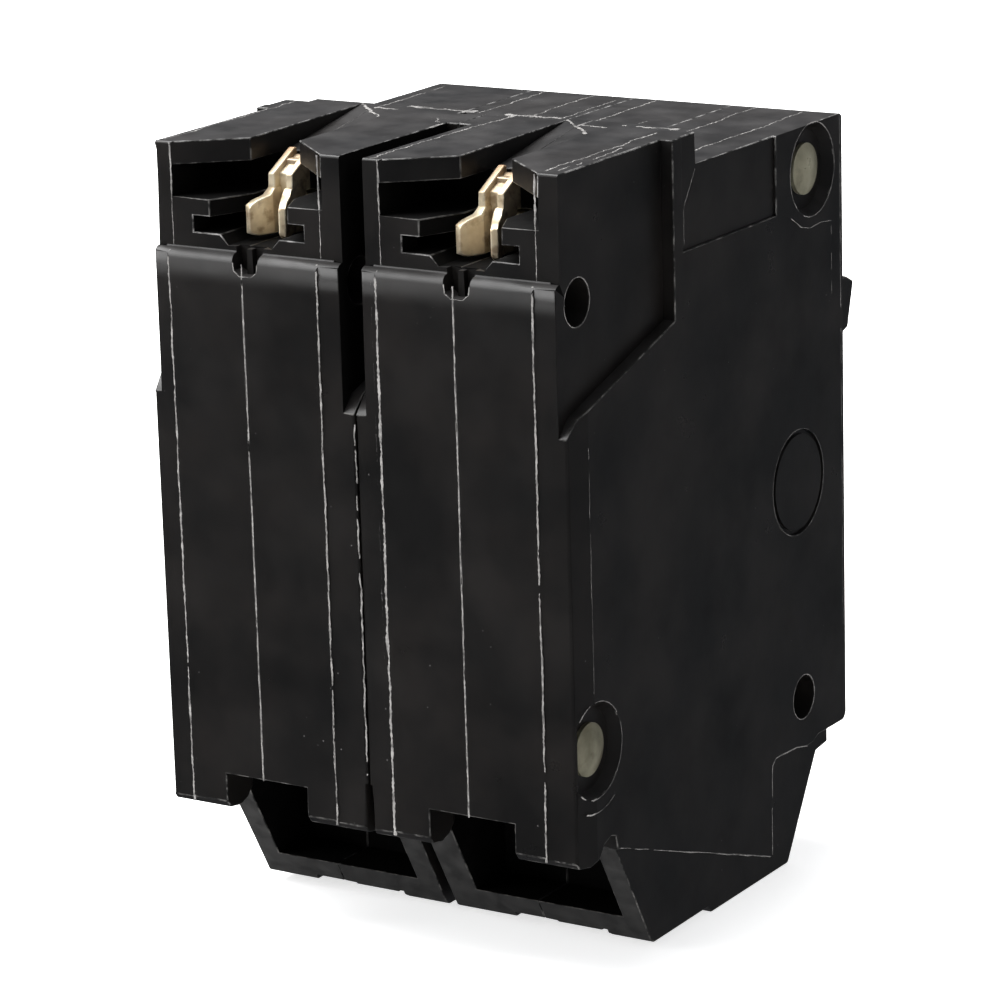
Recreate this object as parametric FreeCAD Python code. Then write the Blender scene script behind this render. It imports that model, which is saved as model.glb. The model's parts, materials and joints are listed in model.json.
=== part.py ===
import FreeCAD, Part
import math
import os

# Two-pole plug-in circuit breaker with ground-fault protection, millimetres.
# Own frame: +Z runs from the load end to the line end, +Y out of the back
# (the side that plugs on), -Y out of the front (the handle side).
#
# Every piece is drawn in back-view coordinates of one pole and placed last:
#   u  across, from the +X side of the pole towards -X
#   v  depth, from the back face towards the front
#   z  height above the load end

# ---- driving dimensions -------------------------------------------------
POLE = 25.4                 # width of one pole
POLES = 2
BODY_DEPTH = 58.8           # back face to front face
HANDLE_REACH = 7.4          # how far the handle tie stands out of the front
TOP = 84.8                  # line end, hood height
FRONT_TOP = 81.5            # line end of the front part
BACK_BOTTOM = 13.5          # lower edge of the back face
MIDDLE = POLE / 2           # middle of a pole
PARTING = 12.25             # plane where the two half shells of a pole meet
LOW_EDGE = 3.2              # where the back face steps at the low side
HIGH_EDGE = 4.0             # and at the high side, from that side
STEP = 1.4                  # side recess that makes the back part narrow
INSIDE = (3.4, 22.0)        # inner faces of the side walls
LEDGE = 58.0                # height where the narrow part begins
SHOULDER = 73.9             # rounded step of the back face
SHOULDER_STEP = 1.05
SHOULDER_ROUND = 1.0
OUTER_TAPER = 0.5           # how much the back corners fall away beside another breaker
INNER_TAPER = 0.1           # and between the two poles
TAPER_DEPTH = 3.5
BACK_WALL = 4.8             # thickness of the back wall at the rail slot
FOOT_RISE = 1.6             # height of the short side of the load end
FOOT_STEP = 27.8            # depth where the load end steps down to its flat
FOOT_END = 45.3             # front edge of that flat
FRONT_BOTTOM = 12.9         # lower edge of the front face
HOOD_FRONT = 28.4           # where the hood steps down to the front part
HOOD_RAMP = 13.0            # slope in degrees of the ramp in the hood slot
LEG_INSETS = ((2.1, 0.2), (1.1, 0.4))   # recess round the load end: low and high side of each pole
MARK_DEPTH = 0.35           # moulded circle on the side
LABEL_DEPTH = 0.3

RIVET_1 = (3.8, 25.4)       # (v, z) of the long rivets
RIVET_2 = (51.9, 76.5)
RIVET_SHANK = 1.7
RIVET_BORE = 1.8
RIVET_HEAD = 2.8
COUNTERBORE = 5.0
COUNTERBORE_FLOOR = 4.4
COUNTERBORE_DEPTH = 1.3

HOLE_1 = (4.3, 71.5)        # (v, z) of the cross holes
HOLE_2 = (48.8, 18.2)
HOLE_RADIUS = 2.45
BOSS = 1.7                  # wall of the tubes round rivets and cross holes

HANDLE_PIVOT = (47.0, 53.0)
HANDLE_TILT = 20.0          # degrees above the depth axis when ON
HUB_RADIUS = 9.2
TIE_HALF = 3.0              # half thickness of the tie bar
TIE_INSET = 2.4             # from each side of the breaker to the end of the tie
ARM_PIVOT = (34.5, 49.0)
CRADLE_PIVOT = (44.0, 36.0)
ARMATURE_PIVOT = (27.6, 50.6)
TRIP_PIVOT = (24.0, 55.5)
TRIP_RADIUS = 1.7
CONTACT_Z = 68.0
CONTACT_BACK = 18.6         # depth of the face that carries the fixed contact
BUS_HALF = 2.0              # half width of the flat straps
SCREW_Z = 7.5               # terminal screw axis
LUG_TOP = 12.6
BUTTON_Z = 32.0
BUTTON_HALF = 4.0           # half width of the test button
BOARD_FACE = 6.2            # u of the board's component side
BRAID_RADIUS = 0.8
BIMETAL_HALF = 3.0          # half width of the bimetal
BIMETAL_BACK = 22.0
LEGS = (4.6, 22.5)          # inner sides of the legs beside the rail pocket
PIN_RADIUS = 1.0            # pivots of arm, cradle and armature
PIN_SINK = 1.3              # how far a pin reaches into each side wall
PIN_FIT = 0.05              # radial running clearance of pins
TRUNNION_RADIUS = 2.0
SCREW_RADIUS = 2.0
PLUNGER_RADIUS = 1.3
PLUNGER_Z = 29.0            # solenoid axis

TOTAL_WIDTH = POLE * POLES
TOTAL_DEPTH = BODY_DEPTH + HANDLE_REACH
BACK_Y = TOTAL_DEPTH / 2
PIN_ENDS = (INSIDE[0] - PIN_SINK, INSIDE[1] + PIN_SINK)
ARM_SIDES = (11.2, 14.2)    # u of both faces of the contact arm
LEVER_SIDES = (8.3, 17.1)   # u of both sides of the handle lever
LEVER_HALF = 2.0            # half thickness of the lever
LEVER_END = 18.0            # distance of its end from the pivot
FAR = 100.0                 # longer than anything it cuts
OUT = 1.0                   # how far a cutter starts outside what it cuts


# ---- drawing helpers ----------------------------------------------------
def box(u0, u1, v0, v1, z0, z1):
    return Part.makeBox(u1 - u0, v1 - v0, z1 - z0, FreeCAD.Vector(u0, v0, z0))


def rod_u(centre, radius, u0, u1):
    start = FreeCAD.Vector(u0, centre[0], centre[1])
    return Part.makeCylinder(radius, u1 - u0, start, FreeCAD.Vector(1, 0, 0))


def rod_v(u, z, radius, v0, v1):
    return Part.makeCylinder(radius, v1 - v0, FreeCAD.Vector(u, v0, z), FreeCAD.Vector(0, 1, 0))


def rod_z(u, v, radius, z0, z1):
    return Part.makeCylinder(radius, z1 - z0, FreeCAD.Vector(u, v, z0), FreeCAD.Vector(0, 0, 1))


def side_prism(outline, u0, u1):
    """Outline of (v, z) points, extruded across the pole."""
    points = [FreeCAD.Vector(u0, v, z) for v, z in outline]
    face = Part.Face(Part.makePolygon(points + points[:1]))
    return face.extrude(FreeCAD.Vector(u1 - u0, 0, 0))


def plan_prism(outline, z0, z1):
    """Outline of (u, v) points, extruded upwards."""
    points = [FreeCAD.Vector(u, v, z0) for u, v in outline]
    face = Part.Face(Part.makePolygon(points + points[:1]))
    return face.extrude(FreeCAD.Vector(0, 0, z1 - z0))


def back_prism(outline, v0, v1):
    """Outline of (u, z) points, extruded along the depth."""
    points = [FreeCAD.Vector(u, v0, z) for u, z in outline]
    face = Part.Face(Part.makePolygon(points + points[:1]))
    return face.extrude(FreeCAD.Vector(0, v1 - v0, 0))


def ring_u(centre, outer, inner, u0, u1):
    return rod_u(centre, outer, u0, u1).cut(rod_u(centre, inner, u0 - 1, u1 + 1))


def join(shapes):
    whole = shapes[0].multiFuse(shapes[1:]) if len(shapes) > 1 else shapes[0]
    return whole.removeSplitter()


def carve(shape, cutters):
    return shape.cut(Part.makeCompound(cutters)) if cutters else shape


def polar(centre, angle, radius):
    turn = math.radians(angle)
    return (centre[0] + radius * math.cos(turn), centre[1] + radius * math.sin(turn))


def mirrored(shape):
    """The same shape on the other side of the parting plane."""
    return shape.mirror(FreeCAD.Vector(MIDDLE, 0, 0), FreeCAD.Vector(1, 0, 0))


def coil(start, axis, radius, wire, pitch, length):
    helix = Part.makeHelix(pitch, length, radius)
    section = Part.Wire(Part.makeCircle(wire, FreeCAD.Vector(radius, 0, 0), FreeCAD.Vector(0, 1, 0)))
    spring = Part.Wire(helix).makePipeShell([section], True, True)
    turn = FreeCAD.Rotation(FreeCAD.Vector(0, 0, 1), FreeCAD.Vector(*axis))
    spring.Placement = FreeCAD.Placement(FreeCAD.Vector(*start), turn)
    return spring


# ---- the half shells ----------------------------------------------------
def round_edges(shape, corners):
    """Round the edges that run across the pole at the given (v, z, radius) corners."""
    for v, z, radius in corners:
        edges = [edge for edge in shape.Edges
                 if edge.BoundBox.XLength > POLE - 1
                 and abs(edge.BoundBox.YMin - v) < 0.01 and abs(edge.BoundBox.ZMin - z) < 0.01]
        shape = shape.makeFillet(radius, edges)
    return shape


def outer_block(pole):
    """Outside of one pole, before it is hollowed."""
    back_lip = [(0, BACK_BOTTOM + 0.9), (0.6, BACK_BOTTOM + 0.1), (2.4, BACK_BOTTOM - 0.2),
                (4.0, BACK_BOTTOM + 0.3), (4.9, BACK_BOTTOM + 1.5), (6.3, BACK_BOTTOM + 2.0),
                (7.3, BACK_BOTTOM + 1.7), (7.6, BACK_BOTTOM + 0.3)]
    foot = [(14.7, 1.2), (15.4, 0.8), (FOOT_STEP - 0.8, 0.8), (FOOT_STEP, 0), (FOOT_END, 0)]
    front_corner = [(52.3, 10.9), (55.0, 11.2), (55.0, FRONT_BOTTOM), (BODY_DEPTH, FRONT_BOTTOM)]
    line_end = [(BODY_DEPTH, FRONT_TOP), (HOOD_FRONT, FRONT_TOP), (HOOD_FRONT, TOP), (SHOULDER_STEP, TOP),
                (SHOULDER_STEP, SHOULDER), (0, SHOULDER)]
    rounds = [(0, SHOULDER, SHOULDER_ROUND), (BODY_DEPTH, FRONT_BOTTOM, 1.0), (BODY_DEPTH, FRONT_TOP, 0.6),
              (FOOT_END, 0, 0.6), (SHOULDER_STEP, TOP, 0.3)]
    block = round_edges(side_prism(back_lip + foot + front_corner + line_end, 0, POLE), rounds)
    tapers = (OUTER_TAPER, INNER_TAPER) if pole == 0 else (INNER_TAPER, OUTER_TAPER)
    insets = LEG_INSETS[pole]
    other_side = [mirrored(cut) for cut in side_recesses(HIGH_EDGE, tapers[1], insets[1])]
    return carve(block, side_recesses(LOW_EDGE, tapers[0], insets[0]) + other_side + [foot_steps()])


def corner_taper(width, top):
    outline = [(-OUT, -OUT), (width, -OUT), (width, 0), (0, TAPER_DEPTH), (-OUT, TAPER_DEPTH)]
    return plan_prism(outline, -OUT, top)


def side_recesses(step, taper, leg_inset):
    """What is taken off the low side of a pole; the back face steps at the given width."""
    outline = [(-OUT, LEDGE - 0.7), (1.9, LEDGE + 2.3), (21.5, LEDGE + 8.2), (21.5, FAR), (-OUT, FAR)]
    narrow = side_prism(outline, -OUT, STEP)
    back_corner = corner_taper(taper, LEDGE + 3)
    low_corner = corner_taper(OUTER_TAPER, BACK_BOTTOM + 5.5)
    outline = [(-OUT, -OUT), (step, -OUT), (step, 0), (step - 0.2, 0.15), (-OUT, 0.15)]
    back_edge = plan_prism(outline, -OUT, FAR)
    strip = box(-OUT, 3.2, 26.7, HOOD_FRONT + OUT, FRONT_TOP, FAR)
    outline = [(7.9, 13.7), (41.0, 2.1), (41.3, 12.4), (42.1, 13.1), (47.0, 12.85), (49.5, 12.3),
               (50.9, 12.4), (52.1, FRONT_BOTTOM), (60, FRONT_BOTTOM), (60, -OUT), (0, -OUT)]
    inset = side_prism(outline, -OUT, leg_inset)
    return [narrow, back_corner, low_corner, back_edge, strip, inset]


def foot_steps():
    """Raised rear edge of the load end, with two shallow pads."""
    start = 10.0
    rise = box(-OUT, 19.8, start, FOOT_STEP, -OUT, FOOT_RISE)
    pads = [box(-OUT, 8.5, start, FOOT_STEP, FOOT_RISE - 0.6, 3),
            box(13.8, 19.1, start, FOOT_STEP, FOOT_RISE - 0.2, 3)]
    return carve(rise, pads)


def hood_ramp(far_corner, near_corner, start):
    """Slope that falls from a slanting line on top of the hood towards the back face."""
    along = FreeCAD.Vector(near_corner[0] - far_corner[0], near_corner[1] - far_corner[1], 0)
    slab = box(-POLE, POLE, -POLE, FAR, -POLE, 0)
    slab.rotate(FreeCAD.Vector(), FreeCAD.Vector(1, 0, 0), HOOD_RAMP)
    slab.rotate(FreeCAD.Vector(), FreeCAD.Vector(0, 0, 1), math.degrees(math.atan2(along.y, along.x)))
    slab.translate(FreeCAD.Vector(*far_corner, TOP))
    return slab.common(box(0, POLE, start, HOOD_FRONT, SHOULDER, FAR))


def line_mouth():
    """Open space at the line end where the stab goes in."""
    low, high = 3.2, 21.8
    floor, roof = 75.6, 82.4
    back = 12.0
    room = box(low, high, -OUT, back, floor, roof)
    far_corner, near_corner = (9.4, 27.9), (15.6, 21.5)
    outline = [(-OUT, -OUT), (low, 1.0), (9.8, 6.2), far_corner, near_corner, (15.4, back),
               (15.4, 6.8), (high, 1.0), (27, -OUT)]
    hood = plan_prism(outline, roof - 2, FAR).cut(hood_ramp(far_corner, near_corner, back))
    steps = [box(low - 0.1, 5.8, -OUT, 4, floor - 0.1, 77.4),
             box(19.4, high + 0.1, -OUT, 4, floor - 0.1, 77.4)]
    outline = [(low - 0.1, 1.05), (7.9, 1.05), (10.2, 6), (10.2, 13), (low - 0.1, 13)]
    shelf = plan_prism(outline, 77.3, 79.1)
    other_shelf = mirrored(shelf).cut(box(0, 15.6, -OUT, 14, 70, 90))
    room = carve(room, steps + [shelf, other_shelf])
    dip_floor = 74.5
    outline = [(9.0, floor + 0.1), (10.0, dip_floor), (15.4, dip_floor), (16.4, floor + 0.1)]
    dip = back_prism(outline, -OUT, 10.5)
    outline = [(11.0, 74.8), (11.2, 72.2), (12.0, 71.7), (13.4, 71.7), (14.2, 72.2), (14.4, 74.8)]
    notch = back_prism(outline, -OUT, 1.9)
    ridge = back_prism([(12.2, 71.6), (13.0, 71.6), (12.9, 74.3), (12.3, 74.3)], 1.15, 2.0)
    strap_way = box(10.3, 15.1, back - 1, back + 3, floor + 1, floor + 3)
    return [room, hood, dip, notch.cut(ridge), strap_way]


def mechanism_room():
    """Hollow that holds the mechanism, as (v, z) outline."""
    outline = [
        (2.6, 19.8), (21.2, 19.8), (21.2, 2.4), (43.4, 2.4), (49.4, 11.6), (52.8, 13.4), (52.8, 14.9),
        (56.6, 14.9), (56.6, 79.3), (14.4, 79.3), (14.4, 73.4), (2.6, 73.4),
    ]
    return side_prism(outline, INSIDE[0], INSIDE[1])


def rail_pocket():
    """Space that takes the hook of the mounting rail, with its slot in the back face."""
    roof, floor, front = 17.6, 4.0, 19.2
    pocket = side_prism([(BACK_WALL, roof), (front, roof), (front, floor), (3.0, floor), (3.0, 13.0),
                         (BACK_WALL, 14.8)], *LEGS)
    slot = box(7.5, 17.7, -OUT, BACK_WALL + 1, 10, roof - 0.1)
    return [pocket, slot]


def front_ways():
    """Handle slot, screw access, wire entry and label seat."""
    slot = box(LEVER_SIDES[0] - 0.4, LEVER_SIDES[1] + 0.4, 55, 60, 43.6, 62.4)
    screw_way = rod_v(MIDDLE, SCREW_Z, 3.9, 43.0, 54)
    wire_way = rod_z(MIDDLE, 36.8, 3.4, -OUT, 4)
    label = box(3.6, POLE - 3.6, BODY_DEPTH - LABEL_DEPTH, 60, 65.5, 76.5)
    return [slot, screw_way, wire_way, label]


def cross_bores(outer_side):
    """Bores right across the pole; the outer side has sunk rivet seats and marks."""
    back_rim = 0.4
    cuts = [rod_u(HOLE_1, HOLE_RADIUS, -OUT, POLE + OUT), rod_u(HOLE_2, HOLE_RADIUS, -OUT, POLE + OUT)]
    cuts += [rod_u(rivet, RIVET_BORE, -OUT, POLE + OUT) for rivet in (RIVET_1, RIVET_2)]
    cuts.append(rod_u(TRIP_PIVOT, TRIP_RADIUS + 0.2, PARTING, POLE + OUT))
    seats = [Part.makeCone(COUNTERBORE, COUNTERBORE_FLOOR, COUNTERBORE_DEPTH,
                           FreeCAD.Vector(0, v, z), FreeCAD.Vector(1, 0, 0)) for v, z in (RIVET_1, RIVET_2)]
    mark = ring_u((48.0, 42.8), 5.8, 5.3, -OUT, MARK_DEPTH)
    label = side_prism([(23.4, 73.0), (43.6, 73.0), (43.6, FAR), (23.4, FAR)], -OUT, LABEL_DEPTH)
    inside_rim = box(-OUT, POLE, back_rim, FAR, 0, FAR)
    sides = [seat.common(inside_rim) for seat in seats] + [mark, label]
    if outer_side == "high":
        sides = [mirrored(side) for side in sides]
        cuts[-1] = mirrored(cuts[-1])
    return cuts + sides


def inner_ribs(pole):
    """Seat of the test button spring, in the left pole only."""
    half = 2.6
    seat = box(INSIDE[0] - OUT, INSIDE[1] + OUT, 47.6, 49.0, BUTTON_Z - half, BUTTON_Z + half)
    return [seat.cut(rod_v(MIDDLE, BUTTON_Z, 1.3, 40, 60))] if pole == 0 else []


def inner_tubes():
    """Material round the bores, inside the hollow."""
    ends = (INSIDE[0] - OUT, INSIDE[1] + OUT)
    tubes = [rod_u(rivet, RIVET_BORE + BOSS, *ends) for rivet in (RIVET_1, RIVET_2)]
    return tubes + [rod_u(hole, HOLE_RADIUS + BOSS, *ends) for hole in (HOLE_1, HOLE_2)]


def bearing_pockets():
    """Blind bores in the side walls for the pivots."""
    ends = (PIN_ENDS[0] - 0.1, PIN_ENDS[1] + 0.1)
    pockets = [rod_u(pivot, PIN_RADIUS, *ends) for pivot in (ARM_PIVOT, CRADLE_PIVOT, ARMATURE_PIVOT)]
    return pockets + [rod_u(HANDLE_PIVOT, TRUNNION_RADIUS, *ends)]


def half_shells(pole):
    body = outer_block(pole)
    body = body.cut(mechanism_room())
    body = body.fuse(inner_tubes() + inner_ribs(pole))
    cuts = line_mouth() + rail_pocket() + front_ways() + bearing_pockets()
    cuts += cross_bores("low" if pole == 0 else "high")
    if pole == 0:
        cuts.append(box(MIDDLE - 4.2, MIDDLE + 4.2, 55, 60, BUTTON_Z - 3.2, BUTTON_Z + 3.2))
    for cut in cuts:
        body = body.cut(cut)
    low = body.common(box(-OUT, PARTING, -OUT, FAR, -OUT, FAR))
    high = body.common(box(PARTING, POLE + OUT, -OUT, FAR, -OUT, FAR))
    return low, high


# ---- line side ----------------------------------------------------------
def stab_clip():
    """Folded brass jaw: two sprung plates with flared lips, held by a strap."""
    low = 11.2
    jaw_bottom, jaw_top, neck_top = 74.9, 79.6, 81.1
    outline = [(10.2, 4.1), (10.9, 3.8), (12.15, 6.4), (12.15, 9.6), (low, 9.6), (low, 6.8)]
    rounding = [(9.6, jaw_bottom), (4.8, jaw_bottom), (4.1, 75.2), (3.8, 75.9), (3.8, 77.6), (4.1, 78.2),
                (4.8, 78.6), (6.2, 79.0), (6.8, jaw_top), (9.6, jaw_top)]
    lip = plan_prism(outline, jaw_bottom, jaw_top).common(side_prism(rounding, 0, POLE))
    neck_side = 12.0
    outline = [(7.0, jaw_top - 0.6), (10.4, jaw_top - 0.6), (10.4, 81.2), (11.4, 81.7), (11.4, 83.1),
               (10.9, 83.1), (7.0, neck_top)]
    neck = side_prism(outline, low, neck_side)
    outline = [(8.0, 78.9), (8.8, 78.9), (8.8, 80.5), (11.4, 81.6), (11.4, 82.4), (10.9, 82.4), (8.0, 81.0)]
    front_web = side_prism(outline, neck_side, 2 * MIDDLE - neck_side)
    web = box(12.0, 13.4, 9.4, 10.4, 76.6, 82.2)
    tail = box(MIDDLE - BUS_HALF, MIDDLE + BUS_HALF, 9.4, CONTACT_BACK, 77.1, 78.1)
    drop = box(MIDDLE - BUS_HALF, MIDDLE + BUS_HALF, CONTACT_BACK - 1.2, CONTACT_BACK, 63.5, 78.1)
    return join([lip, mirrored(lip), neck, mirrored(neck), front_web, web, tail, drop])


def fixed_contact():
    return rod_v(MIDDLE, CONTACT_Z, 2.1, CONTACT_BACK, CONTACT_BACK + 1.4)


def contact_arm():
    outline = [(36.3, 50.2), (25.6, 62.6), (24.4, 65.0), (24.4, 71.0), (21.7, 71.0), (21.7, 64.2),
               (23.2, 60.6), (32.4, 47.6)]
    arm = side_prism(outline, *ARM_SIDES)
    eye = rod_u(ARM_PIVOT, 2.8, *ARM_SIDES)
    post = rod_u((28.6, 57.0), 0.7, 9.0, 16.4)
    return join([arm, eye, post]).cut(rod_u(ARM_PIVOT, PIN_RADIUS + PIN_FIT, 0, POLE))


def moving_contact():
    return rod_v(MIDDLE, CONTACT_Z, 2.0, CONTACT_BACK + 1.5, CONTACT_BACK + 3.1)


def pivot_pin(pivot):
    return rod_u(pivot, PIN_RADIUS, *PIN_ENDS)


def main_spring():
    """Pull spring on the arm post, beside the arm."""
    start = (16.2, 29.0, 56.2)
    along = (0, 0.64, -0.768)
    return coil(start, along, radius=1.5, wire=0.3, pitch=1.1, length=5.5)


def arc_chute():
    """Steel splitter plates, each with a slot for the arm, on one fibre back strip."""
    count, pitch, thickness = 6, 3.2, 0.9
    low, high = MIDDLE - 7.1, MIDDLE + 7.1
    start, bottom, top = 21.0, 71.8, 78.6
    plates = []
    for index in range(count):
        v = start + pitch * index
        plate = box(low, high, v, v + thickness, bottom, top)
        plates.append(plate.cut(box(MIDDLE - 3.1, MIDDLE + 3.1, v - 1, v + 2, bottom - 1, top - 1.6)))
    end = start + pitch * (count - 1) + thickness
    return join(plates + [box(low, high, start, end, top - 0.6, top + 0.4)])


# ---- handle -------------------------------------------------------------
def on_lever(along, across):
    """Place (v, z) at a distance along the tilted lever and across it."""
    return polar(polar(HANDLE_PIVOT, HANDLE_TILT, along), HANDLE_TILT + 90, across)


def lever_outline(near, far, half):
    corners = [(near, -half), (far, -half), (far, half), (near, half)]
    return [on_lever(along, across) for along, across in corners]


def handle():
    hub = rod_u(HANDLE_PIVOT, HUB_RADIUS, LEVER_SIDES[0] - 0.2, LEVER_SIDES[1] + 0.2)
    lever = side_prism(lever_outline(4, LEVER_END, LEVER_HALF), *LEVER_SIDES)
    trunnion = rod_u(HANDLE_PIVOT, TRUNNION_RADIUS - PIN_FIT, *PIN_ENDS)
    fork = box(MIDDLE - 1.8, MIDDLE + 1.8, 36, 46.5, 40, 66)
    return join([hub.cut(fork), lever, trunnion])


def handle_tie():
    """Paddle with a slanting face that makes both handles move as one."""
    near = 14.2
    outline = [on_lever(near, -TIE_HALF), (63.8, 56.0), (64.8, 56.3), (TOTAL_DEPTH, 61.3), (64.8, 62.0),
               (63.8, 62.3), on_lever(near, TIE_HALF)]
    tie = side_prism(outline, TIE_INSET, TOTAL_WIDTH - TIE_INSET)
    for pole in range(POLES):
        low, high = (side + pole * POLE for side in LEVER_SIDES)
        tie = tie.cut(side_prism(lever_outline(10, LEVER_END, LEVER_HALF), low, high))
    for groove in range(4):
        place_on_grip = on_lever(near + 0.9 + 1.0 * groove, TIE_HALF)
        tie = tie.cut(rod_u(place_on_grip, 0.25, 4, TOTAL_WIDTH - 4))
    return tie


# ---- trip parts ---------------------------------------------------------
def cradle():
    """Latch lever beside the contact arm, with a tab that the armature holds."""
    low, high = 18.2, 19.4
    tip = 29.3
    arm = side_prism([(45.6, 34.2), (45.6, 38.0), (43.0, 38.4), (31.0, 42.2), (tip, 41.6), (tip, 39.4),
                      (42.6, 34.0)], low, high)
    latch_tab = box(15.2, high, tip, tip + 1.7, 39.6, 41.4)
    eye = rod_u(CRADLE_PIVOT, 2.6, low - 0.4, high + 1.0)
    return join([arm, latch_tab, eye]).cut(rod_u(CRADLE_PIVOT, PIN_RADIUS + PIN_FIT, 0, POLE))


def bimetal():
    return box(MIDDLE - BIMETAL_HALF, MIDDLE + BIMETAL_HALF, BIMETAL_BACK, BIMETAL_BACK + 1.0, 23.0, 53.0)


def magnet_yoke():
    """Channel section round the bimetal."""
    half, wall = 4.7, 1.5
    yoke = box(MIDDLE - half, MIDDLE + half, 19.4, 25.2, 33.5, 43.0)
    return yoke.cut(box(MIDDLE - half + wall, MIDDLE + half - wall, 20.8, 30, 30, 50))


def armature():
    low, high = MIDDLE - 4.7, MIDDLE + 4.7
    plate = box(low, high, 27.1, 28.1, 27.0, 50.0)
    window = box(MIDDLE - 2.1, MIDDLE + 2.1, 26, 30, 36.5, 44.0)
    eye = rod_u(ARMATURE_PIVOT, 1.7, low, high)
    return join([plate.cut(window), eye]).cut(rod_u(ARMATURE_PIVOT, PIN_RADIUS + PIN_FIT, 0, POLE))


def armature_spring():
    """Torsion coil round the armature pin."""
    return coil((17.8, *ARMATURE_PIVOT), (1, 0, 0), radius=1.5, wire=0.25, pitch=0.8, length=2.4)


def braid():
    """Flexible copper lead from the bimetal to the side of the contact arm."""
    bimetal_side = MIDDLE - BIMETAL_HALF
    arm_side = ARM_SIDES[0]
    path = [FreeCAD.Vector(*point) for point in (
        (bimetal_side, 22.5, 51.4), (6.6, 22.5, 51.8), (5.7, 24.5, 52.4), (5.6, 28.0, 53.4),
        (6.2, 30.6, 53.6), (8.4, 31.4, 53.4), (arm_side, 31.5, 53.2))]
    spans = [Part.makeCylinder(BRAID_RADIUS, (end - start).Length, start, end - start)
             for start, end in zip(path, path[1:])]
    bends = [Part.makeSphere(BRAID_RADIUS, point) for point in path[1:-1]]
    ends = box(bimetal_side, arm_side, 20, 24, 48, 56).fuse(box(arm_side, 13, 29, 34, 50, 56))
    return join(spans + bends).cut(ends)


def load_strap():
    """Strap from the bimetal foot through the sensor to the lug."""
    low, high = MIDDLE - BUS_HALF, MIDDLE + BUS_HALF
    bottom, top, front = 21.6, 22.6, 36.7
    foot = box(MIDDLE - BIMETAL_HALF, MIDDLE + BIMETAL_HALF, BIMETAL_BACK - 0.4, BIMETAL_BACK, top, 30.0)
    bridge = box(low, high, BIMETAL_BACK - 0.4, front, bottom, top)
    drop = box(low, high, front - 1, front, LUG_TOP, top)
    return join([foot, bridge, drop])


def load_lug():
    """Box lug with a square wire chamber and a threaded front wall."""
    lug = box(MIDDLE - 5.8, MIDDLE + 5.8, 33.0, 43.0, 2.7, LUG_TOP)
    chamber = box(MIDDLE - 3.5, MIDDLE + 3.5, 34.4, 40.0, 0, LUG_TOP - 1.4)
    return carve(lug, [chamber, rod_v(MIDDLE, SCREW_Z, SCREW_RADIUS + PIN_FIT, 39, 44)])


def terminal_screw():
    top = 46.3
    half_slot = 0.5
    shank = rod_v(MIDDLE, SCREW_Z, SCREW_RADIUS, 39.9, 44.2)
    head = rod_v(MIDDLE, SCREW_Z, 3.4, top - 3, top)
    slot = box(MIDDLE - 4, MIDDLE + 4, top - 1, top + 1, SCREW_Z - half_slot, SCREW_Z + half_slot)
    cross = box(MIDDLE - half_slot, MIDDLE + half_slot, top - 1, top + 1, SCREW_Z - 2, SCREW_Z + 2)
    return carve(join([shank, head]), [slot, cross])


def pressure_pad():
    """Plate that the screw pushes onto the wire."""
    return box(MIDDLE - 3.2, MIDDLE + 3.2, 38.8, 39.8, 3.2, LUG_TOP - 1.6)


def calibration_screw():
    """Sets the bimetal gap from inside the back wall."""
    height, head_end = 27.0, 12.0
    shank = rod_v(MIDDLE, height, 1.3, head_end, 21.4)
    return join([shank, rod_v(MIDDLE, height, 2.4, head_end - 1.6, head_end)])


def front_label():
    return box(3.8, POLE - 3.8, BODY_DEPTH - LABEL_DEPTH, BODY_DEPTH - 0.05, 65.7, 76.3)


# ---- shared parts -------------------------------------------------------
def assembly_rivets():
    """Two long rivets with domed heads in the sunk seats."""
    sunk, dome, height = COUNTERBORE_DEPTH, 7.4, 1.0
    rivets = []
    for centre in (RIVET_1, RIVET_2):
        shank = rod_u(centre, RIVET_SHANK, sunk, TOTAL_WIDTH - sunk)
        heads = []
        for u, side in ((sunk, -1), (TOTAL_WIDTH - sunk, 1)):
            ball = Part.makeSphere(dome, FreeCAD.Vector(u - side * (dome - height), *centre))
            slab = rod_u(centre, RIVET_HEAD, min(u, u + side * height), max(u, u + side * height))
            heads.append(ball.common(slab))
        rivets.append(join([shank] + heads))
    return Part.makeCompound(rivets)


def trip_bar():
    """Round bar through the inner walls, with a finger before each bimetal."""
    bar = rod_u(TRIP_PIVOT, TRIP_RADIUS, 8.5, TOTAL_WIDTH - 8.5)
    centres = [pole * POLE + MIDDLE for pole in range(POLES)]
    fingers = [box(centre - 2.3, centre + 2.3, 23.9, 24.9, 50.9, 55.0) for centre in centres]
    return join([bar] + fingers)


def test_button():
    def block(half_width, half_height, start, end):
        return box(MIDDLE - half_width, MIDDLE + half_width, start, end,
                   BUTTON_Z - half_height, BUTTON_Z + half_height)

    cap = block(BUTTON_HALF, BUTTON_HALF - 1, 56.9, BODY_DEPTH + 1.6)
    cap = cap.makeFillet(0.6, [edge for edge in cap.Edges if edge.BoundBox.YMin > BODY_DEPTH + 1])
    flange = block(BUTTON_HALF + 1, BUTTON_HALF, 55.0, 56.3)
    neck = block(BUTTON_HALF - 0.2, BUTTON_HALF - 1.2, 56.0, 57.0)
    stem = rod_v(MIDDLE, BUTTON_Z, 1.0, 48.2, 55.2)
    return join([cap, flange, neck, stem])


def test_button_spring():
    return coil((MIDDLE, 49.2, BUTTON_Z), (0, 1, 0), radius=1.9, wire=0.25, pitch=0.95, length=5.2)


def circuit_board():
    board = box(BOARD_FACE - 1.6, BOARD_FACE, 25.0, 46.0, 23.5, 42.5)
    return board.cut(rod_u(CRADLE_PIVOT, PIN_RADIUS + 0.3, 4, 7))


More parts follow.
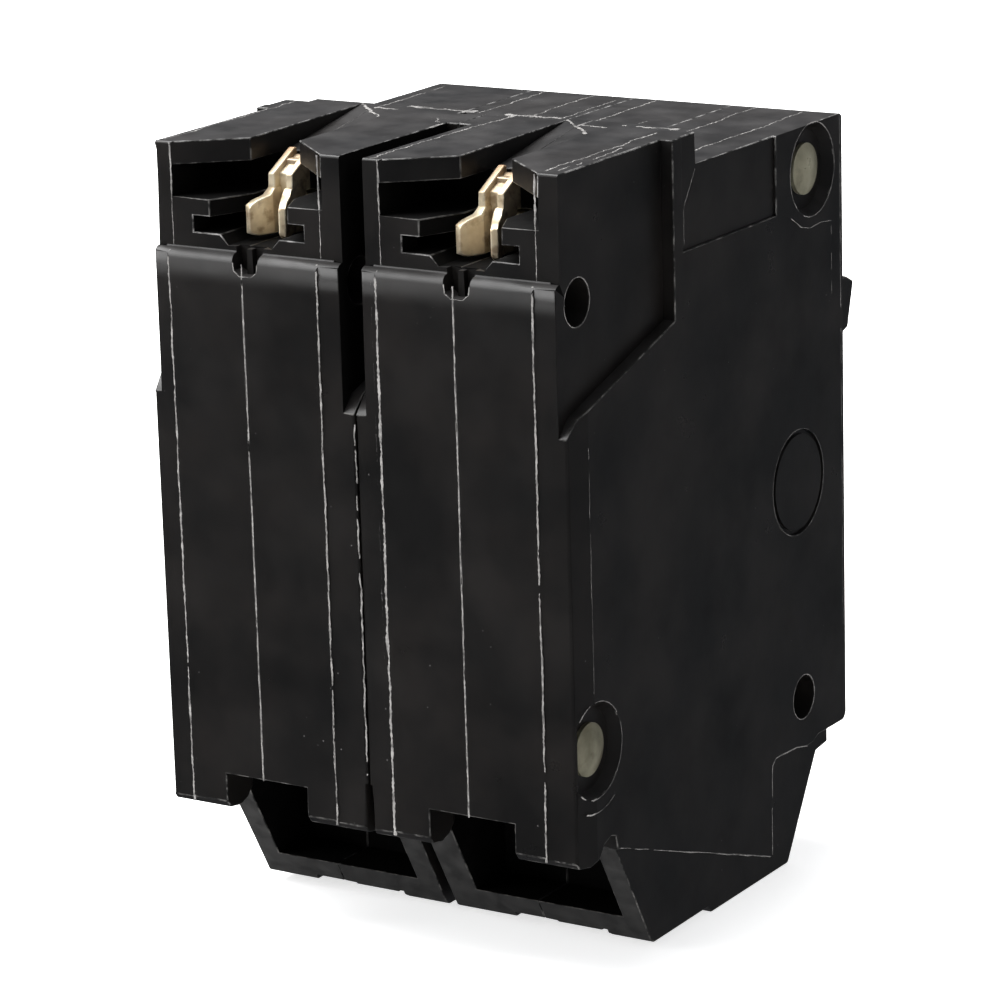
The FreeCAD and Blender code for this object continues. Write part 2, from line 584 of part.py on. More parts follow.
def board_components():
    face = BOARD_FACE
    chips = [box(face, face + 1.4, 28, 33, 26, 32), box(face, face + 1.2, 36, 42, 26, 30),
             box(face, face + 1.3, 36, 39, 33, 37)]
    cans = [rod_u((29.0, 38.0), 1.6, face, face + 1.6), rod_u((43.4, 39.8), 1.5, face, face + 1.5)]
    return Part.makeCompound(chips + cans)


def current_transformer():
    """Ring that the load strap passes through."""
    ring, section = 5.0, 1.9
    return Part.makeTorus(ring, section, FreeCAD.Vector(MIDDLE, 36.2, 17.4), FreeCAD.Vector(0, 0, 1))


def trip_solenoid():
    winding = rod_v(MIDDLE, PLUNGER_Z, 3.6, 32.0, 42.4)
    flange = box(MIDDLE - 4.3, MIDDLE + 4.3, 31.2, 32.0, PLUNGER_Z - 4.4, PLUNGER_Z + 4.4)
    return join([winding, flange]).cut(rod_v(MIDDLE, PLUNGER_Z, PLUNGER_RADIUS + PIN_FIT, 31, 44))


def solenoid_plunger():
    core = rod_v(MIDDLE, PLUNGER_Z, PLUNGER_RADIUS, 29.6, 44.4)
    return join([core, rod_v(MIDDLE, PLUNGER_Z, 1.9, 44.3, 45.3)])


# ---- placing and writing ------------------------------------------------
def place(shape, pole=0):
    """From back-view coordinates of a pole into the part's own frame."""
    moved = shape.copy()
    moved.translate(FreeCAD.Vector(pole * POLE, 0, 0))
    moved.rotate(FreeCAD.Vector(0, 0, 0), FreeCAD.Vector(0, 0, 1), 180)
    moved.translate(FreeCAD.Vector(TOTAL_WIDTH / 2, BACK_Y, 0))
    return moved


def write(name, shape):
    for solid in shape.Solids:
        assert solid.isValid() and solid.Volume > 0, name
    shape.exportStep(os.path.join("parts", name + ".step"))
    bounds = shape.BoundBox
    print(f"{name:28s} solids {len(shape.Solids)} volume {shape.Volume:9.1f}"
          f"  X {bounds.XMin:6.1f} {bounds.XMax:6.1f}  Y {bounds.YMin:6.1f} {bounds.YMax:6.1f}"
          f"  Z {bounds.ZMin:6.1f} {bounds.ZMax:6.1f}")


PER_POLE = {
    "stab_clip": stab_clip,
    "fixed_contact": fixed_contact,
    "contact_arm": contact_arm,
    "moving_contact": moving_contact,
    "main_spring": main_spring,
    "arc_chute": arc_chute,
    "handle": handle,
    "cradle": cradle,
    "bimetal": bimetal,
    "magnet_yoke": magnet_yoke,
    "armature": armature,
    "armature_spring": armature_spring,
    "braid": braid,
    "load_strap": load_strap,
    "load_lug": load_lug,
    "terminal_screw": terminal_screw,
    "pressure_pad": pressure_pad,
    "calibration_screw": calibration_screw,
    "front_label": front_label,
}

SHARED = {
    "handle_tie": (handle_tie, 0),
    "trip_bar": (trip_bar, 0),
    "assembly_rivets": (assembly_rivets, 0),
    "test_button": (test_button, 0),
    "test_button_spring": (test_button_spring, 0),
    "circuit_board": (circuit_board, 0),
    "board_components": (board_components, 0),
    "current_transformer": (current_transformer, 0),
    "trip_solenoid": (trip_solenoid, 1),
    "solenoid_plunger": (solenoid_plunger, 1),
}


def main():
    os.makedirs("parts", exist_ok=True)
    for pole, side in enumerate(("left", "right")):
        low, high = half_shells(pole)
        outer, inner = (low, high) if pole == 0 else (high, low)
        write(side + "_outer_shell", place(outer, pole))
        write(side + "_inner_shell", place(inner, pole))
        for name, make in PER_POLE.items():
            write(side + "_" + name, place(make(), pole))
        pins = [place(pivot_pin(pivot), pole) for pivot in (ARM_PIVOT, CRADLE_PIVOT, ARMATURE_PIVOT)]
        write(side + "_pivot_pins", Part.makeCompound(pins))
    for name, (make, pole) in SHARED.items():
        write(name, place(make(), pole))


main()
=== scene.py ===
import math
import random

import bmesh
import bpy
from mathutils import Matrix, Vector, noise
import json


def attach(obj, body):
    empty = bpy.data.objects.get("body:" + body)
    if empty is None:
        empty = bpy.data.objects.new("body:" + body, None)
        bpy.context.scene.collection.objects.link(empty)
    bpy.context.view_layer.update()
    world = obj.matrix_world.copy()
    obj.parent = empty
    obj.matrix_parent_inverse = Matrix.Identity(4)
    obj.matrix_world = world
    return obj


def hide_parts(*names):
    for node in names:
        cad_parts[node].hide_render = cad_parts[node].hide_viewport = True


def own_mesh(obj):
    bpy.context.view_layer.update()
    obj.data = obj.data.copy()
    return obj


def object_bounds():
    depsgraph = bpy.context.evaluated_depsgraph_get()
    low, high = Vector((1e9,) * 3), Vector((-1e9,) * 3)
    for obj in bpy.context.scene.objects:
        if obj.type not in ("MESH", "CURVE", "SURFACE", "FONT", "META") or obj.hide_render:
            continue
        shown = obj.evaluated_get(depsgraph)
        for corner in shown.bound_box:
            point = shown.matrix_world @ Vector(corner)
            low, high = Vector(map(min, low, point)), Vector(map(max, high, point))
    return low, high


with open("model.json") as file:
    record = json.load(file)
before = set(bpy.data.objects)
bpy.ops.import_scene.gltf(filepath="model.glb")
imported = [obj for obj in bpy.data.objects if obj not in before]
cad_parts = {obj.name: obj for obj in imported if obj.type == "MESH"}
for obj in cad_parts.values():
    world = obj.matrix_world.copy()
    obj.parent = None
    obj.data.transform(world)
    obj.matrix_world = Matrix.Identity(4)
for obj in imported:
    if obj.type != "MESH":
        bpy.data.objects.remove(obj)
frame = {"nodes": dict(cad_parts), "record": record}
cad_low, cad_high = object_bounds()

# Places are given as in the model: u across from the +X side, v in from the back face,
# z up from the load end, all in millimetres.
MM = 0.001
POLE = 25.4
LINE_LOW, LINE_SEAM, LINE_HIGH = 3.2, 12.25, 21.4       # upright lines on the back face of a pole
HOOD_FRONT = 28.4                                       # v where the high hood ends
FRONT_TOP = 81.5                                        # z of the lower top in front of the hood
TOP = 84.8
SHOULDER, SHOULDER_ROUND = 73.9, 1.0                    # rounded step of the back face
SHOULDER_END = 1.05                                     # v of the mouth's frame above that step
BEND_FROM = 70.4                                        # z where the back face starts to bend
BEND_BELOW = 28.0                                       # degrees it has bent where the round starts
RIVETS = ((3.8, 25.4), (51.9, 76.5))                    # (v, z)
SEAT = 5.1                                              # radius of a rivet's sunk seat
CROSS_HOLES = ((4.3, 71.5), (48.8, 18.2))               # (v, z)
CROSS_HOLE = 2.5                                        # radius
WALL = 2 * POLE                                         # u of the right side
NARROW_WALL = WALL - 1.4                                # and of its set-back part at the line end
LABEL_FLOOR = WALL - 0.3                                # and of the shallow label recess

BACK = Vector((0, 1, 0))
UP = Vector((0, 0, 1))
SIDE = Vector((-1, 0, 0))


def at(u, v, z):
    """A place on the breaker, in metres."""
    return Vector((cad_high.x - u * MM, cad_high.y - v * MM, cad_low.z + z * MM))


# ---- materials ------------------------------------------------------------
class Nodes:
    """Small helper that lays out one procedural material."""

    def __init__(self, name, roughness=0.5, metallic=0.0, specular=0.5):
        self.material = bpy.data.materials.new(name)
        self.material.use_nodes = True
        self.tree = self.material.node_tree
        self.shader = self.tree.nodes["Principled BSDF"]
        self.shader.inputs["Metallic"].default_value = metallic
        self.shader.inputs["Roughness"].default_value = roughness
        self.shader.inputs["Specular IOR Level"].default_value = specular
        self.place = self.add("ShaderNodeTexCoord").outputs["Object"]

    def add(self, kind, **settings):
        node = self.tree.nodes.new(kind)
        for key, value in settings.items():
            setattr(node, key, value)
        return node

    def join(self, start, end):
        self.tree.links.new(start, end)

    def stretched(self, scale):
        mapping = self.add("ShaderNodeMapping")
        mapping.inputs["Scale"].default_value = scale
        self.join(self.place, mapping.inputs["Vector"])
        return mapping.outputs["Vector"]

    def grain(self, scale, detail=3.0, rough=0.55, stretch=None):
        """Noise, with its scale in features per metre."""
        node = self.add("ShaderNodeTexNoise")
        node.inputs["Scale"].default_value = scale
        node.inputs["Detail"].default_value = detail
        node.inputs["Roughness"].default_value = rough
        self.join(self.stretched(stretch) if stretch else self.place, node.inputs["Vector"])
        return node.outputs["Fac"]

    def cells(self, scale):
        node = self.add("ShaderNodeTexVoronoi", feature="F1")
        node.inputs["Scale"].default_value = scale
        self.join(self.place, node.inputs["Vector"])
        return node.outputs["Distance"]

    def ramp(self, value, low, high, start=0.0, end=1.0):
        node = self.add("ShaderNodeMapRange")
        node.inputs["From Min"].default_value = low
        node.inputs["From Max"].default_value = high
        node.inputs["To Min"].default_value = start
        node.inputs["To Max"].default_value = end
        self.join(value, node.inputs["Value"])
        return node.outputs["Result"]

    def maths(self, operation, a, b):
        node = self.add("ShaderNodeMath", operation=operation, use_clamp=True)
        for value, socket in ((a, node.inputs[0]), (b, node.inputs[1])):
            if isinstance(value, (int, float)):
                socket.default_value = value
            else:
                self.join(value, socket)
        return node.outputs["Value"]

    def mix(self, factor, a, b):
        node = self.add("ShaderNodeMix", data_type="RGBA")
        self.join(factor, node.inputs["Factor"])
        for value, socket in ((a, node.inputs["A"]), (b, node.inputs["B"])):
            if isinstance(value, tuple):
                socket.default_value = (*value, 1.0)
            else:
                self.join(value, socket)
        return node.outputs["Result"]

    def upward(self):
        """1 where the surface faces the line end, 0 elsewhere."""
        split = self.add("ShaderNodeSeparateXYZ")
        self.join(self.add("ShaderNodeNewGeometry").outputs["Normal"], split.inputs["Vector"])
        return self.ramp(split.outputs["Z"], 0.5, 0.95)

    def bump(self, height, strength, distance):
        node = self.add("ShaderNodeBump")
        node.inputs["Strength"].default_value = strength
        node.inputs["Distance"].default_value = distance
        self.join(height, node.inputs["Height"])
        self.join(node.outputs["Normal"], self.shader.inputs["Normal"])

    def finish(self, colour, roughness=None):
        self.join(colour, self.shader.inputs["Base Color"])
        if roughness is not None:
            self.join(roughness, self.shader.inputs["Roughness"])
        return self.material


# Pale grey of the dust specks and of the painted light on upward faces.
DUST_AND_TOP_SHEEN = (0.30, 0.29, 0.29)
BRASS_PAINTED_SHADE_HEIGHTS = (80.3 * MM, 83.0 * MM)         # heights between which painted shade darkens the brass towards its upper end


def moulding(name, dark, light, rough_low, rough_high, sheen_and_dust_share):
    """Moulded black plastic with mottling, pale dust specks, a pale film on upward faces that is partly dust
    and partly painted light from above, and a soft skin.
    """
    m = Nodes(name, specular=0.25)
    mottle = m.ramp(m.grain(90.0, 4.0), 0.35, 0.65)
    colour = m.mix(mottle, dark, light)
    dots = m.ramp(m.cells(700.0), 0.07, 0.03)
    specks = m.maths("MULTIPLY", dots, m.ramp(m.grain(150.0, 2.0), 0.56, 0.62))
    # Painted light: upward faces turn paler, partly real dust and partly painted brightness from the light
    # above.
    top_sheen_and_dust = m.maths("MULTIPLY", m.upward(), m.ramp(m.grain(220.0, 5.0), 0.35, 0.75, 0.2, 1.0))
    specks_and_top_sheen = m.maths("MAXIMUM", m.maths("MULTIPLY", specks, 0.3), m.maths("MULTIPLY", top_sheen_and_dust, sheen_and_dust_share))
    colour = m.mix(specks_and_top_sheen, colour, DUST_AND_TOP_SHEEN)
    rough = m.ramp(m.grain(140.0, 5.0), 0.3, 0.7, rough_low, rough_high)
    rough = m.maths("ADD", rough, m.maths("MULTIPLY", specks_and_top_sheen, 0.4))
    m.bump(m.grain(1500.0, 3.0), 0.12, 0.00004)
    return m.finish(colour, rough)


def worn_edge(name, dark, pale, low, high, scale=700.0):
    """Black plastic rubbed pale, in ragged stretches."""
    m = Nodes(name, specular=0.3)
    wear = m.ramp(m.grain(scale, 4.0, 0.65), low, high)
    return m.finish(m.mix(wear, dark, pale), m.ramp(wear, 0.0, 1.0, 0.36, 0.62))


def metal(name, colour, shade, roughness, stretch=(1.0, 1.0, 1.0), scale=400.0, tarnish=None,
          metallic=1.0):
    """Metal with a brushed or rolled grain, and darker stains where tarnish is given."""
    m = Nodes(name, metallic=metallic)
    base = m.mix(m.ramp(m.grain(scale, 3.0, stretch=stretch), 0.3, 0.7), colour, shade)
    if tarnish:
        base = m.mix(m.ramp(m.grain(500.0, 5.0), 0.55, 0.8), base, tarnish)
    m.bump(m.grain(scale * 3, 3.0, stretch=stretch), 0.2, 0.00003)
    return m.finish(base, m.ramp(m.grain(scale, 4.0), 0.3, 0.7, roughness - 0.08, roughness + 0.1))


def brass(name, colour, shade, tarnish, roughness):
    """Dull brass with stains, and painted shade that darkens it towards its upper end."""
    m = Nodes(name, metallic=0.5)
    split = m.add("ShaderNodeSeparateXYZ")
    m.join(m.place, split.inputs["Vector"])
    # Painted shade: the upper brass, under the hood, turns darker with height.
    upper_painted_shade = m.ramp(split.outputs["Z"], *BRASS_PAINTED_SHADE_HEIGHTS)
    stains = m.ramp(m.grain(650.0, 5.0), 0.49, 0.64)
    base = m.mix(m.ramp(m.grain(420.0, 3.0), 0.35, 0.65), colour, shade)
    # The tarnish colour carries both the real stains and the painted shade.
    base = m.mix(m.maths("MAXIMUM", upper_painted_shade, m.maths("MULTIPLY", stains, 0.7)), base, tarnish)
    m.bump(m.grain(900.0, 3.0), 0.3, 0.00004)
    return m.finish(base, m.ramp(m.grain(400.0, 4.0), 0.3, 0.7, roughness - 0.08, roughness + 0.12))


def plain(name, colour, shade, roughness, scale=600.0, specular=0.5):
    """Non-metal with light mottling."""
    m = Nodes(name, specular=specular)
    m.bump(m.grain(scale * 4, 3.0), 0.15, 0.00004)
    return m.finish(m.mix(m.ramp(m.grain(scale, 4.0), 0.35, 0.7), colour, shade),
                    m.ramp(m.grain(scale, 3.0), 0.3, 0.7, roughness - 0.05, roughness + 0.08))


SHELL = moulding("shell_black", (0.0038, 0.0036, 0.0035), (0.0092, 0.0079, 0.0072), 0.27, 0.46, 0.10)
# Painted shade: a near-black matt finish for faces inside the pocket and the mouth, on walls facing the gap
# between the poles and on the outer strips of the shoulder.
SHELL_PAINTED_SHADE = plain("shell_painted_shade", (0.0016, 0.0015, 0.0015), (0.0026, 0.0024, 0.0023), 0.75,
                     specular=0.08)
# Painted light: a lighter grey for the legs' down-leaning backs, standing in for light bounced up from the
# pale floor.
SHELL_PAINTED_BOUNCE = plain("shell_painted_bounce", (0.018, 0.0176, 0.0172), (0.030, 0.0293, 0.0286), 0.7, specular=0.2)
EDGE_BRIGHT = worn_edge("edge_rubbed", (0.012, 0.0115, 0.011), (0.24, 0.235, 0.23), 0.42, 0.64)
EDGE_SOFT = worn_edge("edge_soft", (0.008, 0.0077, 0.0073), (0.11, 0.106, 0.10), 0.45, 0.68)
FLASH = worn_edge("flash_pale", (0.045, 0.0435, 0.042), (0.28, 0.27, 0.26), 0.30, 0.60, scale=900.0)
BRASS = brass("brass", (0.80, 0.70, 0.51), (0.58, 0.47, 0.31), (0.24, 0.15, 0.08), 0.42)
BRASS_EDGE = brass("brass_edge", (0.88, 0.80, 0.62), (0.70, 0.58, 0.40), (0.38, 0.26, 0.15), 0.36)
HANDLE = moulding("handle_black", (0.005, 0.0049, 0.0048), (0.008, 0.0076, 0.0073), 0.35, 0.5, 0.08)

FINISHES = {
    "shell": SHELL,
    "handle_plastic": HANDLE,
    "brass": BRASS,
    "silver": metal("contact_silver", (0.78, 0.77, 0.74), (0.66, 0.65, 0.62), 0.35),
    "copper": metal("copper", (0.72, 0.36, 0.22), (0.60, 0.28, 0.17), 0.32, tarnish=(0.30, 0.14, 0.09)),
    "steel": metal("plate_steel", (0.46, 0.46, 0.45), (0.36, 0.36, 0.35), 0.42, stretch=(1.0, 6.0, 1.0)),
    "spring_steel": metal("spring_wire", (0.55, 0.55, 0.56), (0.42, 0.42, 0.43), 0.28),
    "bimetal": metal("bimetal_strip", (0.56, 0.53, 0.48), (0.44, 0.42, 0.39), 0.36, stretch=(6.0, 1.0, 1.0)),
    "lug": metal("tinned_lug", (0.64, 0.64, 0.63), (0.52, 0.52, 0.51), 0.38),
    "screw_steel": metal("zinc_screw", (0.58, 0.58, 0.55), (0.45, 0.45, 0.42), 0.34),
    "rivet": metal("rivet_nickel", (0.29, 0.275, 0.20), (0.15, 0.14, 0.095), 0.34, scale=350.0,
                   tarnish=(0.10, 0.085, 0.055), metallic=0.5),
    "label": plain("label_paper", (0.50, 0.49, 0.46), (0.42, 0.41, 0.385), 0.6),
    "trip_plastic": plain("trip_brown", (0.10, 0.075, 0.055), (0.07, 0.055, 0.04), 0.5),
    "button": plain("button_white", (0.46, 0.45, 0.42), (0.39, 0.38, 0.35), 0.42),
    "board": plain("board_green", (0.03, 0.16, 0.07), (0.02, 0.12, 0.05), 0.35),
    "chips": plain("chip_black", (0.02, 0.02, 0.02), (0.035, 0.034, 0.033), 0.5),
    "ferrite": plain("ring_grey", (0.07, 0.07, 0.075), (0.05, 0.05, 0.055), 0.4),
    "solenoid": metal("coil_copper", (0.50, 0.30, 0.16), (0.40, 0.23, 0.12), 0.4, stretch=(1.0, 12.0, 1.0)),
}


def paint_cad_nodes():
    """Every CAD node takes the finish of its material slot."""
    for part in frame["record"]["subparts"]:
        node = frame["nodes"][part["node"]]
        node.data.materials.clear()
        node.data.materials.append(FINISHES[part["material_slot"]])


# ---- pieces with rounded edges ------------------------------------------------
FLAT = 0.5 * MM             # area over outline of a face that counts as flat and keeps its own normal
NARROW = 0.13 * MM          # and of a face too narrow to round its edges
WELD = 0.000002             # points closer than this, in metres, are one
COPLANAR = math.radians(0.7)
SHARP = math.radians(35)    # edges that stand out more than this are rounded
SHORT = 1.5                 # edges shorter than this many widths of the round stay sharp
BENT = math.radians(40)     # a flat face within this angle gives a round its normal
CLOSE = math.radians(50)    # and where none does, the faces within this angle
EDGE_GRADES = ((1, 1.0), (2, 1.0), (0, 2.4))    # material slot and relative width of each grade of edge
PLAIN_SLOT, PAINTED_SHADE_SLOT, PAINTED_BOUNCE_SLOT = 0, 3, 4     # material slots of a shell's faces: plain, painted shade, painted bounce light
UPRIGHT = 0.9               # upward part of the direction of an upright edge
SHELL_ROUND, CLIP_ROUND, TIE_ROUND, RIVET_ROUND = 0.13 * MM, 0.16 * MM, 0.25 * MM, 0.35 * MM

# Regions of a shell: limits of across, v and z. Across runs over one pole.
ANY = (-1.0, 100.0)
NOTCH = ((10.5, 15.0), (-1.0, 2.6), (70.5, 76.0))
MOUTH_FRAME = (ANY, (-1.0, 1.5), (73.0, 77.5))
POCKET = ((4.5, 22.6), (3.5, 19.3), (3.9, 17.7))
MOUTH = ((3.1, 21.9), (1.6, 12.1), (74.4, 82.5))
POLE_GAP = (ANY, (-1.0, 21.6), (57.0, 100.0))
SHOULDER_TIP = (ANY, (-1.0, 1.1), (BEND_FROM + 2, SHOULDER + 0.1))
LEG_BACK = (ANY, (7.5, 16.0), (-1.0, 13.0))


def within(place, region):
    return all(start < value < end for value, (start, end) in zip(place, region))


def millimetres(point):
    """A point of the model as (u, v, z)."""
    return (cad_high.x - point.x) / MM, (cad_high.y - point.y) / MM, (point.z - cad_low.z) / MM


def breadth(face):
    return face.calc_area() / max(face.calc_perimeter(), 1e-9)


def sharp(edge):
    """Whether an edge stands out enough to be rounded."""
    return len(edge.link_faces) == 2 and edge.calc_face_angle_signed(0.0) > SHARP


def shell_grade(edge):
    """Which of EDGE_GRADES an edge has, from where it lies, or None if it stays sharp."""
    start, end = (vert.co for vert in edge.verts)
    u, v, z = millimetres((start + end) / 2)
    across = u % POLE
    if within((across, v, z), NOTCH):
        return None
    near_back = 1.5
    if abs((end - start).normalized().z) > UPRIGHT and v < near_back:
        if min(abs(across - LINE_LOW), abs(across - LINE_HIGH)) < 0.5:
            return 0
        if min(across, POLE - across) < 2.0:
            return 2
    near_top = 0.3
    on_hood = z > TOP - near_top
    on_front = z > FRONT_TOP - near_top and v > HOOD_FRONT
    return 0 if on_hood or on_front or within((across, v, z), MOUTH_FRAME) else 1


def shell_slot(face):
    """Material slot of a shell's face: painted shade inside, in gaps and on the shoulder's outer strips, and
    painted bounce light on the legs' backs.
    """
    u, v, z = millimetres(face.calc_center_median())
    place = (u % POLE, v, z)
    outer = place[0] < LINE_LOW or place[0] > LINE_HIGH
    facing_gap = abs(u - POLE) < 1.6 and abs(face.normal.x) > 0.9
    # Painted shade: inside the pocket and the mouth, on walls facing the pole gap and on the shoulder's
    # outer strips.
    if within(place, POCKET) or within(place, MOUTH):
        return PAINTED_SHADE_SLOT
    if (facing_gap and within(place, POLE_GAP)) or (outer and within(place, SHOULDER_TIP)):
        return PAINTED_SHADE_SLOT
    # Painted light: the legs' down-leaning backs are lightened as if lit from the floor below.
    leans_down = face.normal.y > 0.6 and face.normal.z < -0.2
    return PAINTED_BOUNCE_SLOT if leans_down and within(place, LEG_BACK) else PLAIN_SLOT


def shoulder_normal(face, point):
    """The back face bends gently into its shoulder, so that the light runs off it softly."""
    _, v, z = millimetres(point)
    turned_back = face.normal.y > 0.2 and abs(face.normal.x) < 0.5
    if v > SHOULDER_ROUND + 0.02 or not BEND_FROM - 0.1 < z < SHOULDER + 0.01 or not turned_back:
        return None
    bottom = SHOULDER - SHOULDER_ROUND
    if z < bottom:
        turn = BEND_BELOW * max(0.0, (z - BEND_FROM) / (bottom - BEND_FROM))
    else:
        turn = BEND_BELOW + (1 - BEND_BELOW / 90) * math.degrees(math.asin(min(1.0, z - bottom)))
    return Vector((0, math.cos(math.radians(turn)), math.sin(math.radians(turn))))


def corner_normals(mesh, flat):
    """Flat faces keep their own normal; rounded strips run smoothly from one of them to the next."""
    normals = []
    for face in mesh.faces:
        for loop in face.loops:
            bent = shoulder_normal(face, loop.vert.co)
            if bent:
                normals.append(bent)
                continue
            if face[flat]:
                normals.append(face.normal.copy())
                continue
            around = [other for other in loop.vert.link_faces if other.normal.length > 0.5]
            flats = [other for other in around
                     if other[flat] and other.normal.angle(face.normal, 0.0) < BENT]
            total = Vector()
            for other in flats or around:
                if flats or other.normal.angle(face.normal, 0.0) < CLOSE:
                    total += other.normal * (1.0 if flats else other.calc_area())
            normals.append(total.normalized() if total.length > 0 else face.normal.copy())
    return normals


def softened(node, body, width, materials, grade, slot_of=None):
    """A copy of a CAD node with rounded edges, which stands for it."""
    source = frame["nodes"][node]
    mesh = bmesh.new()
    mesh.from_mesh(source.data)
    bmesh.ops.remove_doubles(mesh, verts=mesh.verts, dist=WELD)
    bmesh.ops.dissolve_limit(mesh, angle_limit=COPLANAR, verts=mesh.verts, edges=mesh.edges)
    for level, (slot, relative) in enumerate(EDGE_GRADES):
        edges = [edge for edge in mesh.edges
                 if sharp(edge) and grade(edge) == level and edge.calc_length() > width * SHORT
                 and min(breadth(face) for face in edge.link_faces) > NARROW]
        bmesh.ops.bevel(mesh, geom=edges, offset=width * relative, segments=2, profile=0.5, affect="EDGES",
                        clamp_overlap=False, material=slot)
    everything = list(mesh.verts) + list(mesh.edges) + list(mesh.faces)
    bmesh.ops.bisect_plane(mesh, geom=everything, plane_co=at(0, 0, BEND_FROM), plane_no=UP)
    mesh.normal_update()
    flat = mesh.faces.layers.int.new("flat")
    for face in mesh.faces:
        face[flat] = int(breadth(face) > FLAT)
    wide = [face for face in mesh.faces if len(face.verts) > 4]
    bmesh.ops.triangulate(mesh, faces=wide, quad_method="BEAUTY", ngon_method="BEAUTY")
    mesh.normal_update()
    normals = corner_normals(mesh, flat)
    for face in mesh.faces:
        face.smooth = True
        if slot_of and face.material_index == PLAIN_SLOT:
            face.material_index = slot_of(face)
    piece = bpy.data.objects.new(node + "_soft", bpy.data.meshes.new(node + "_soft"))
    mesh.to_mesh(piece.data)
    mesh.free()
    piece.data.normals_split_custom_set(normals)
    bpy.context.scene.collection.objects.link(piece)
    for material in materials:
        piece.data.materials.append(material)
    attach(piece, body)
    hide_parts(node)
    return piece


def first_grade(edge):
    """The grade of every edge of a piece that is rounded the same way all over."""
    return 0


def build_soft_pieces():
    """The outer pieces, with rounded edges."""
    shell = (SHELL, EDGE_BRIGHT, EDGE_SOFT, SHELL_PAINTED_SHADE, SHELL_PAINTED_BOUNCE)
    clip = (BRASS, BRASS_EDGE)
    for side in ("left", "right"):
        for half in ("outer", "inner"):
            piece = softened(f"{side}_{half}_shell", "case", SHELL_ROUND, shell, shell_grade, shell_slot)
        piece = softened(side + "_stab_clip", "case", CLIP_ROUND, clip, first_grade)
    piece = softened("handle_tie", "handles", TIE_ROUND, (HANDLE, EDGE_SOFT), first_grade)
    rivet = FINISHES["rivet"]
    piece = softened("assembly_rivets", "case", RIVET_ROUND, (rivet, rivet), first_grade)


def build_button_spring():
    """The spring of the test button, as a copy of its CAD node held by the case."""
    source = frame["nodes"]["test_button_spring"]
    piece = bpy.data.objects.new("test_button_spring_wire", source.data.copy())
    bpy.context.scene.collection.objects.link(piece)
    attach(piece, "case")
    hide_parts("test_button_spring")
    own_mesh(piece)


# ---- moulding flash ---------------------------------------------------------
PROUD, ROOT = 0.015 * MM, 0.02 * MM         # how far a fin stands out, and how deep its foot lies
STATION = 0.22 * MM                         # distance between its cross-sections
DRIFT_KEPT = 0.85                           # share of its sideways drift from one to the next
SWELL_PACE, SWELL = 0.11, 0.35              # how fast and how much its width swells


def flash(name, route, out, width, seed, gaps=0.0, wander=0.05):
    """A thin ragged fin along a route of (u, v, z) places.

    It stands in the direction out, is broken more often as gaps grows, and strays sideways by wander.
    """
    draw = random.Random(seed)
    mesh = bmesh.new()
    places = [at(*place) for place in route]
    stations = []
    for start, end in zip(places, places[1:]):
        count = max(2, int((end - start).length / STATION))
        along = (end - start).normalized()
        side = along.cross(out).normalized()
        stations += [(start.lerp(end, k / count), side) for k in range(count)]
    stations.append((places[-1], side))
    previous = None
    drift = 0.0
    for index, (centre, side) in enumerate(stations):
        drift = DRIFT_KEPT * drift + draw.uniform(-1, 1) * wander * MM * 0.5
        swell = noise.noise(Vector((index * SWELL_PACE, seed * 7.3, 0.0)))
        half = width * MM * (0.5 + SWELL * swell + draw.uniform(-0.15, 0.22))
        tall = PROUD * draw.uniform(0.5, 1.0)
        if swell < gaps - 0.6:
            previous = None
            continue
        middle = centre + side * drift
        ring = [mesh.verts.new(middle - side * half - out * ROOT),
                mesh.verts.new(middle + out * tall + side * half * draw.uniform(-0.3, 0.3)),
                mesh.verts.new(middle + side * half - out * ROOT)]
        if previous is None:
            mesh.faces.new(ring)
        else:
            for a, b in ((0, 1), (1, 2), (2, 0)):
                mesh.faces.new((previous[a], previous[b], ring[b], ring[a]))
        previous = ring
    bmesh.ops.recalc_face_normals(mesh, faces=mesh.faces)
    piece = bpy.data.objects.new(name, bpy.data.meshes.new(name))
    mesh.to_mesh(piece.data)
    mesh.free()
    piece.data.materials.append(FLASH)
    bpy.context.scene.collection.objects.link(piece)
    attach(piece, "case")


